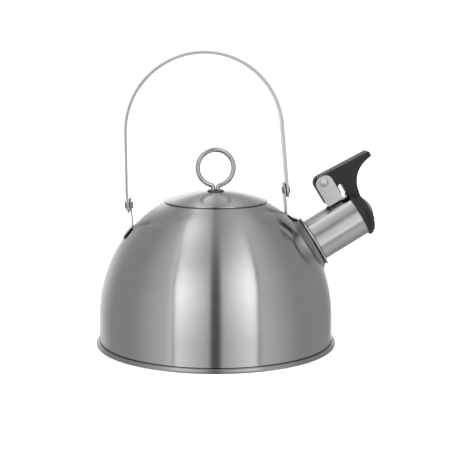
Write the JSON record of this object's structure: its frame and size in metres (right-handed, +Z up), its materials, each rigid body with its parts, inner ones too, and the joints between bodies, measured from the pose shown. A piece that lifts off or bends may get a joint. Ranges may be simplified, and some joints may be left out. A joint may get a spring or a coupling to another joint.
{
  "type": "stovetop whistling kettle",
  "caption": "Domed steel kettle for a stove, with a straight tilted spout, a black lever that lifts the whistle cap, a swinging bail handle and a lift-off lid with a wire ring knob.",
  "frame": {"origin": "middle of the base, on the surface that the kettle stands on", "axes": "+Z up along the axis of the body, +X the way the spout points, +Y to the left of the spout"},
  "size_m": [0.2081, 0.178, 0.2161],
  "materials": {
    "satin_steel": "satin, brushed round the axis",
    "bright_steel": "bright",
    "spring_steel": "drawn wire",
    "black_plastic": "satin moulded, heat resistant",
    "dark_washer": "matte"
  },
  "bodies": {
    "kettle": {"body_shell": "satin_steel", "base_pan": "satin_steel", "spout_tube": "satin_steel", "spout_bracket": "satin_steel", "lever_pin": "bright_steel", "lever_spring": "spring_steel", "front_lug": "satin_steel", "rear_lug": "satin_steel", "front_washer": "dark_washer", "rear_washer": "dark_washer", "front_rivet": "bright_steel", "rear_rivet": "bright_steel"},
    "handle": {"bail": "satin_steel"},
    "lid": {"lid_shell": "satin_steel", "lid_skirt": "satin_steel", "knob_ring": "satin_steel", "knob_washer": "dark_washer", "knob_backing": "satin_steel"},
    "whistle": {"whistle_lever": "black_plastic", "whistle_dome": "bright_steel", "whistle_plate": "bright_steel"}
  },
  "joints": [
    {"name": "handle_swing", "type": "hinge", "parent": "kettle", "child": "handle", "pos_m": [-0.0058, 0, 0.1094], "axis": [0.9962, 0, 0.0872], "range_deg": [-116, 116]},
    {"name": "whistle_tip", "type": "hinge", "parent": "kettle", "child": "whistle", "pos_m": [0.07923, 0, 0.12046], "axis": [0, -1, 0], "range_deg": [0, 55], "stiffness_Nm_per_rad": 0.05, "springref_deg": -34.38, "deforming": ["lever_spring"]},
    {"name": "lid_lift", "type": "slide", "parent": "kettle", "child": "lid", "axis": [0, 0, 1], "range_m": [0, 0.06]}
  ]
}
